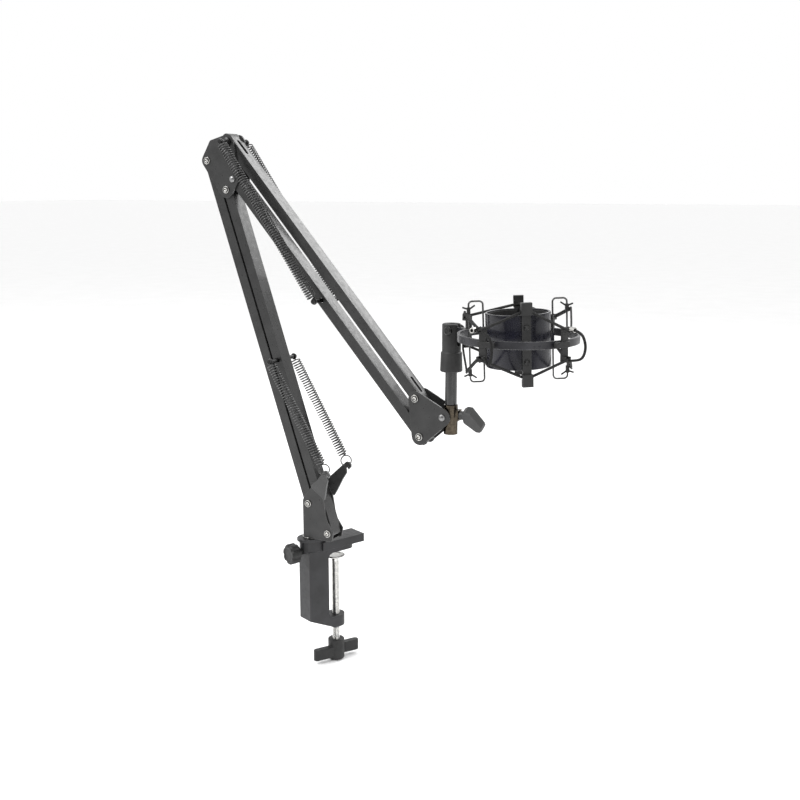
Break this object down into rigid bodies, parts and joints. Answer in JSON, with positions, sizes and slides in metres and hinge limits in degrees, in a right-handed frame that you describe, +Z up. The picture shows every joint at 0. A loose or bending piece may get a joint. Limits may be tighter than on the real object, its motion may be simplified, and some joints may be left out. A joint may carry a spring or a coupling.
{
  "type": "microphone boom arm with shock mount",
  "caption": "Spring-balanced desk boom arm with a screw clamp, parallel folding bars, a tilting post and an empty elastic cradle in a ring.",
  "frame": {"origin": "on the flat underside of the clamp's upper jaw, on the axis of the clamp screw: the point that rests on the desk top", "axes": "+Z up along the clamp screw; the arms fold in a plane parallel to XZ, with the shock mount towards +X"},
  "size_m": [0.4116, 0.137, 0.5324],
  "materials": {
    "painted_steel": "satin black paint",
    "cast_metal": "black powder coat",
    "bright_steel": "bright plated",
    "dark_chrome": "dark bronze chrome",
    "spring_steel": "blackened spring wire",
    "black_plastic": "matt black",
    "grey_plastic": "matt grey",
    "ring_metal": "satin grey",
    "cradle_plastic": "glossy blue black",
    "foam": "dark foam lining",
    "cord": "braided black elastic"
  },
  "bodies": {
    "clamp": {"clamp_body": "cast_metal"},
    "pad": {"clamp_pad": "bright_steel"},
    "screw": {"clamp_screw": "bright_steel", "clamp_handle": "black_plastic"},
    "knob": {"lock_knob": "black_plastic"},
    "base": {"base_spigot": "bright_steel", "base_bracket": "painted_steel", "base_bolt_front": "bright_steel", "base_bolt_rear": "bright_steel"},
    "lower_front": {"lower_bar_front": "painted_steel"},
    "lower_rear": {"lower_bar_rear": "painted_steel", "lower_spring_pin": "bright_steel", "lower_spring_near": "spring_steel", "lower_spring_far": "spring_steel"},
    "elbow": {"elbow_plate_near": "painted_steel", "elbow_plate_far": "painted_steel", "elbow_bolt_front": "bright_steel", "elbow_bolt_rear": "bright_steel", "elbow_rivet": "bright_steel", "elbow_spring_pin": "bright_steel"},
    "upper_top": {"upper_bar_top": "painted_steel"},
    "upper_bottom": {"upper_bar_bottom": "painted_steel", "upper_spring_pin": "bright_steel", "upper_spring_near": "spring_steel", "upper_spring_far": "spring_steel"},
    "head": {"head_plate_near": "painted_steel", "head_plate_far": "painted_steel", "head_bolt_top": "bright_steel", "head_bolt_bottom": "bright_steel", "head_rivet_near": "bright_steel", "head_rivet_far": "bright_steel"},
    "barrel": {"post_clamp": "dark_chrome"},
    "wing": {"wing_handle": "grey_plastic"},
    "post": {"post": "painted_steel"},
    "sleeve": {"sleeve": "black_plastic", "mount_bolt": "bright_steel"},
    "mount": {"outer_ring": "ring_metal", "ring_post_1": "black_plastic", "ring_post_2": "black_plastic", "ring_post_3": "black_plastic", "ring_post_4": "black_plastic", "elastic_cord_upper": "cord", "elastic_cord_lower": "cord", "cord_loop_right": "cord", "cord_loop_left": "cord", "cord_crimp_right": "bright_steel", "cord_crimp_left": "bright_steel"},
    "cradle": {"cradle_shell_right": "cradle_plastic", "cradle_shell_left": "cradle_plastic", "cradle_lining_right": "foam", "cradle_lining_left": "foam", "wire_loop_right": "bright_steel", "wire_loop_left": "bright_steel", "spine_front": "black_plastic", "spine_rear": "black_plastic", "spine_screw_front_upper": "bright_steel", "spine_screw_front_lower": "bright_steel", "spine_screw_rear_upper": "bright_steel", "spine_screw_rear_lower": "bright_steel"}
  },
  "joints": [
    {"name": "pad_travel", "type": "slide", "parent": "clamp", "child": "pad", "axis": [0, 0, 1], "range_m": [-0.055, 0.005]},
    {"name": "screw_turn", "type": "hinge", "parent": "pad", "child": "screw", "pos_m": [0, 0, -0.0087], "axis": [0, 0, 1], "range_deg": [-15840, 1440]},
    {"name": "lock_knob_turn", "type": "hinge", "parent": "clamp", "child": "knob", "pos_m": [-0.01948, -0.04821, 0.006], "axis": [0.3746, 0.9272, 0], "range_deg": [-360, 0]},
    {"name": "base_swivel", "type": "hinge", "parent": "clamp", "child": "base", "pos_m": [-0.01049, -0.02596, 0.0195], "axis": [0, 0, 1], "continuous": true},
    {"name": "lower_arm_tilt", "type": "hinge", "parent": "base", "child": "lower_front", "pos_m": [-0.00799, -0.02596, 0.0563], "axis": [0, 1, 0], "range_deg": [-2.5, 70]},
    {"name": "lower_rear_follow", "type": "hinge", "parent": "base", "child": "lower_rear", "pos_m": [0.01422, -0.02596, 0.02848], "axis": [0, 1, 0], "range_deg": [-3, 71], "deforming": ["lower_spring_near", "lower_spring_far"]},
    {"name": "elbow_follow", "type": "hinge", "parent": "lower_front", "child": "elbow", "pos_m": [-0.11962, -0.02596, 0.38802], "axis": [0, 1, 0], "range_deg": [-71, 3]},
    {"name": "upper_arm_tilt", "type": "hinge", "parent": "elbow", "child": "upper_top", "pos_m": [-0.09425, -0.02596, 0.40553], "axis": [0, 1, 0], "range_deg": [-100, 10]},
    {"name": "upper_bottom_follow", "type": "hinge", "parent": "elbow", "child": "upper_bottom", "pos_m": [-0.08972, -0.02596, 0.37022], "axis": [0, 1, 0], "range_deg": [-101, 11], "deforming": ["upper_spring_near", "upper_spring_far"]},
    {"name": "head_follow", "type": "hinge", "parent": "upper_top", "child": "head", "pos_m": [0.11116, -0.02596, 0.17335], "axis": [0, 1, 0], "range_deg": [-11, 101]},
    {"name": "head_tilt", "type": "hinge", "parent": "head", "child": "barrel", "pos_m": [0.13876, -0.02596, 0.15835], "axis": [0, 1, 0], "range_deg": [-20, 60]},
    {"name": "wing_turn", "type": "hinge", "parent": "barrel", "child": "wing", "pos_m": [0.15376, -0.02596, 0.16035], "axis": [1, 0, 0], "range_deg": [-360, 0]},
    {"name": "post_lift", "type": "slide", "parent": "barrel", "child": "post", "axis": [0, 0, 1], "range_m": [0, 0.012]},
    {"name": "sleeve_turn", "type": "hinge", "parent": "post", "child": "sleeve", "pos_m": [0.14316, -0.02596, 0.21835], "axis": [0, 0, 1], "range_deg": [-97, 122]},
    {"name": "mount_tilt", "type": "hinge", "parent": "sleeve", "child": "mount", "pos_m": [0.14609, -0.02662, 0.23765], "axis": [0.2198, 0.9755, 0], "range_deg": [-20, 20]},
    {"name": "cradle_float", "type": "slide", "parent": "mount", "child": "cradle", "axis": [0, 0, 1], "range_m": [-0.004, 0.004], "stiffness_N_per_m": 400, "springref_m": 0.002, "deforming": ["elastic_cord_upper", "elastic_cord_lower"]}
  ],
  "couplings": [
    {"joint": "screw_turn", "follows": "pad_travel", "rad_per_m": 5026.5},
    {"joint": "lower_rear_follow", "follows": "lower_arm_tilt", "ratio": 1},
    {"joint": "elbow_follow", "follows": "lower_arm_tilt", "ratio": -1},
    {"joint": "upper_bottom_follow", "follows": "upper_arm_tilt", "ratio": 1},
    {"joint": "head_follow", "follows": "upper_arm_tilt", "ratio": -1}
  ]
}
